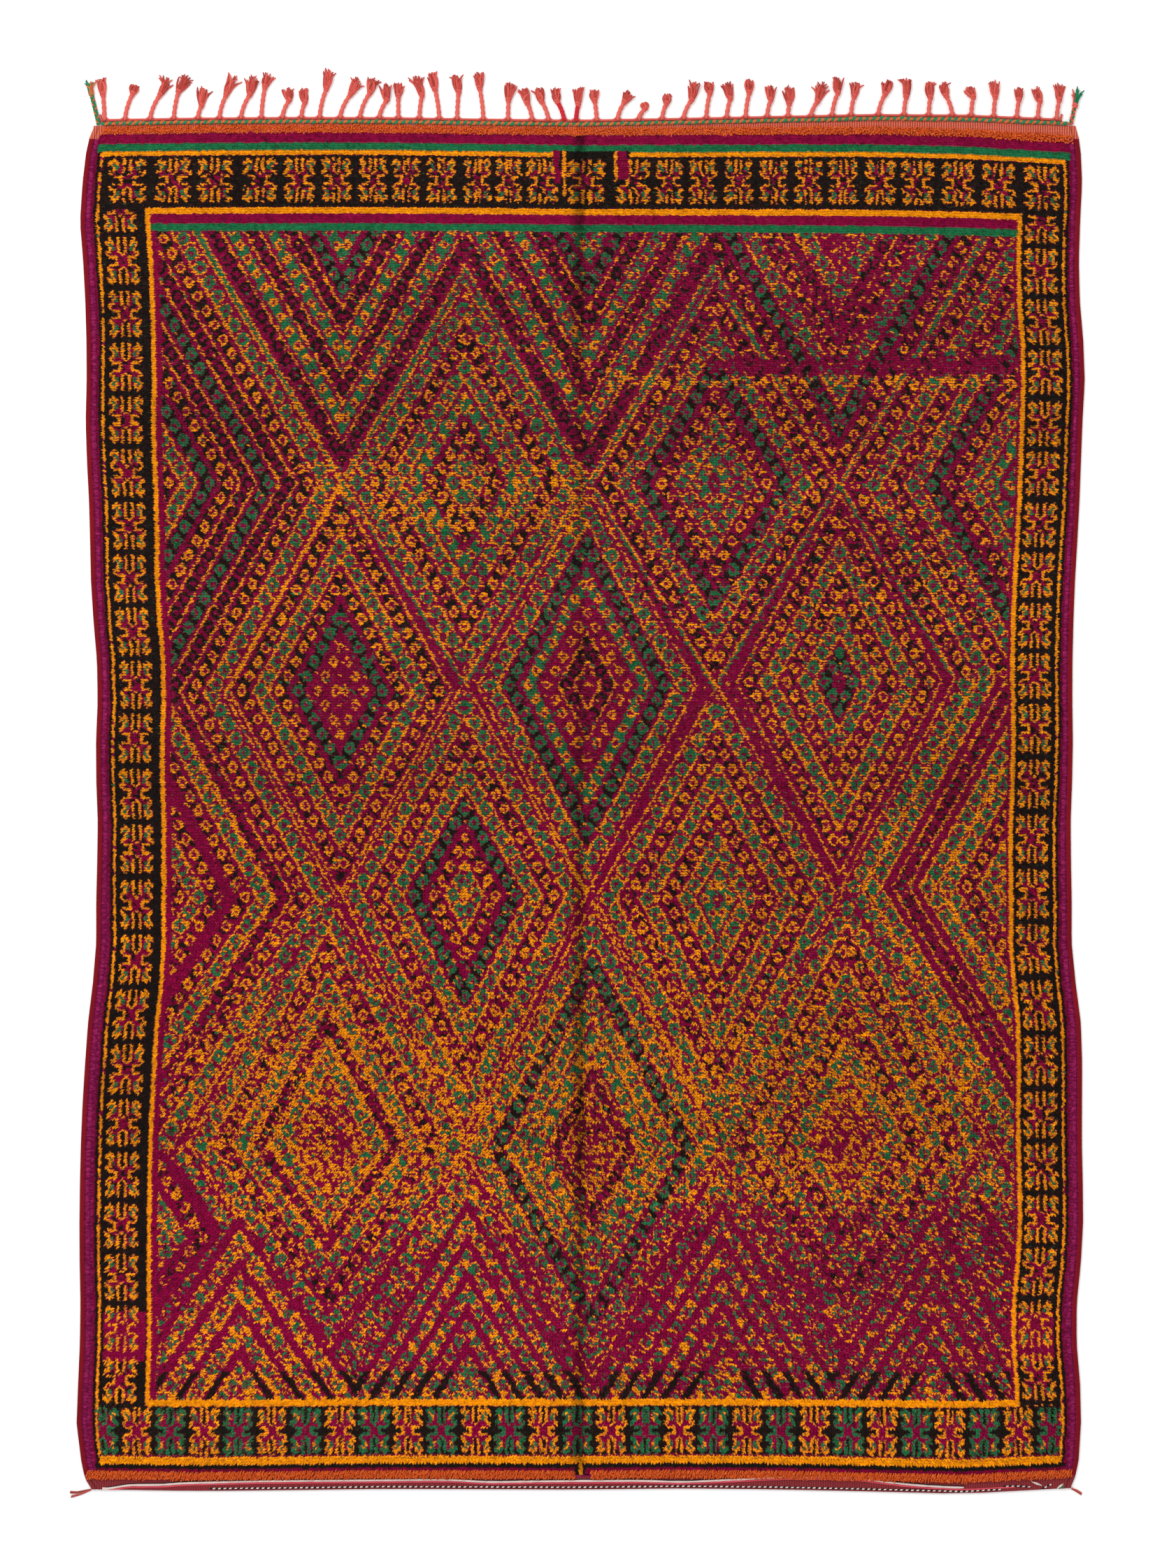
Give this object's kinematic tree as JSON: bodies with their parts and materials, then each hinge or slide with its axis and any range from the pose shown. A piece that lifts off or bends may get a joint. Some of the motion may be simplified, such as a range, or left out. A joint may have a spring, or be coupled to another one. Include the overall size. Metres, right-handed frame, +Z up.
{
  "type": "knotted pile rug",
  "caption": "Flat hand-knotted wool rug with a lozenge field inside geometric borders, a twined top edge and knotted tassels.",
  "frame": {"origin": "centre of the whole rug, tassels included, on the floor", "axes": "+X across the rug, +Y along the warp towards the tasselled end, +Z up from the floor"},
  "size_m": [1.9358, 2.7273, 0.016],
  "materials": {
    "pile_wool": "cut wool pile, matte with a slight sheen",
    "selvedge_wool": "overcast wool edge, ribbed and matte",
    "twining_wool": "twined wool yarn, matte",
    "warp_wool": "plied wool warp ends, matte",
    "flat_weave_wool": "weft-faced flat weave, ribbed and matte"
  },
  "bodies": {
    "root": {"knotted_carpet": "pile_wool", "twined_edge": "twining_wool", "warp_fringe": "warp_wool", "corner_braid_left": "twining_wool", "corner_braid_right": "twining_wool", "corner_tail_left": "flat_weave_wool", "corner_tail_right": "flat_weave_wool"}
  },
  "joints": []
}
